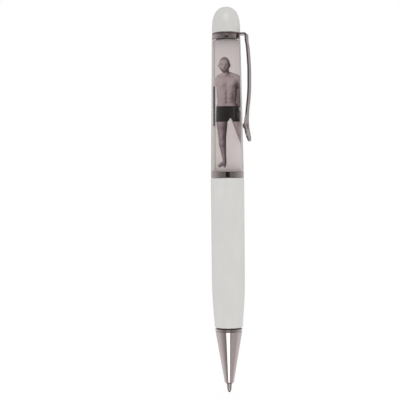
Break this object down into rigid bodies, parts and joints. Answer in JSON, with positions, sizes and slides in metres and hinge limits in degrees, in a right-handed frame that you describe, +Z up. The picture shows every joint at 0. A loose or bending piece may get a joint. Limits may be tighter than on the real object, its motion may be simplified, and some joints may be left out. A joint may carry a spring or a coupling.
{
  "type": "tip-and-strip pen",
  "caption": "Twist-action ballpoint pen with a clear oil-filled picture tube, a shutter that slides when the pen is tipped, a domed cap and a sprung clip.",
  "frame": {"origin": "middle of the clip's shoulder, on its underside, where the edge of a pocket stops", "axes": "+Z up along the pen's axis to the cap, with the writing point down; +X from the pen's axis out to the clip"},
  "size_m": [0.0149, 0.0122, 0.14],
  "materials": {
    "white_plastic": "moulded, glossy, pale warm white",
    "clip_chrome": "plated spring steel, polished",
    "ring_chrome": "plated, polished",
    "nose_chrome": "plated turned brass, polished",
    "clear_acrylic": "clear, polished, filled with clear oil",
    "printed_film": "printed in warm greys, under oil",
    "printed_card": "printed in warm greys, under oil",
    "black_film": "matt black strip",
    "grey_plastic": "moulded",
    "inner_plastic": "moulded",
    "rubber": "moulded",
    "steel": "drawn",
    "brass": "turned",
    "nickel_silver": "turned nickel silver",
    "carbide": "ground ball"
  },
  "bodies": {
    "upper_half": {"dome_cap": "white_plastic", "cap_stud": "steel", "clip_plate": "clip_chrome", "upper_ring": "ring_chrome", "upper_plug": "grey_plastic", "upper_seal": "rubber", "clear_tube": "clear_acrylic", "lower_plug": "grey_plastic", "lower_seal": "rubber", "centre_ring": "ring_chrome", "cam_sleeve": "inner_plastic", "twist_seal": "rubber", "picture_film": "printed_film", "picture_card": "printed_card", "upper_spacer": "inner_plastic", "lower_spacer": "inner_plastic"},
    "clip_arm": {"clip_arm": "clip_chrome"},
    "shutter": {"shutter_slide": "black_film"},
    "lower_half": {"barrel_shell": "white_plastic", "guide_sleeve": "inner_plastic", "barrel_bush": "brass", "trim_ring": "ring_chrome", "nose_cone": "nose_chrome", "return_spring": "steel"},
    "refill": {"refill_carrier": "inner_plastic", "refill_tube": "brass", "refill_tip": "nickel_silver"},
    "ball": {"writing_ball": "carbide"}
  },
  "joints": [
    {"name": "twist", "type": "hinge", "parent": "upper_half", "child": "lower_half", "pos_m": [-0.0062, 0, -0.0519], "axis": [0, 0, 1], "range_deg": [0, 180]},
    {"name": "refill_feed", "type": "slide", "parent": "lower_half", "child": "refill", "axis": [0, 0, 1], "range_m": [0, 0.005], "deforming": ["return_spring"]},
    {"name": "ball_roll", "type": "hinge", "parent": "refill", "child": "ball", "pos_m": [-0.0062, 0, -0.1291], "axis": [1, 0, 0], "continuous": true},
    {"name": "shutter_travel", "type": "slide", "parent": "upper_half", "child": "shutter", "axis": [0, 0, 1], "range_m": [0, 0.0124]},
    {"name": "clip_flex", "type": "hinge", "parent": "upper_half", "child": "clip_arm", "pos_m": [0.00085, 0, 0.00035], "axis": [0, -1, 0], "range_deg": [0, 5], "stiffness_Nm_per_rad": 1.3}
  ],
  "couplings": [
    {"joint": "refill_feed", "follows": "twist", "m_per_rad": 0.0015915}
  ]
}
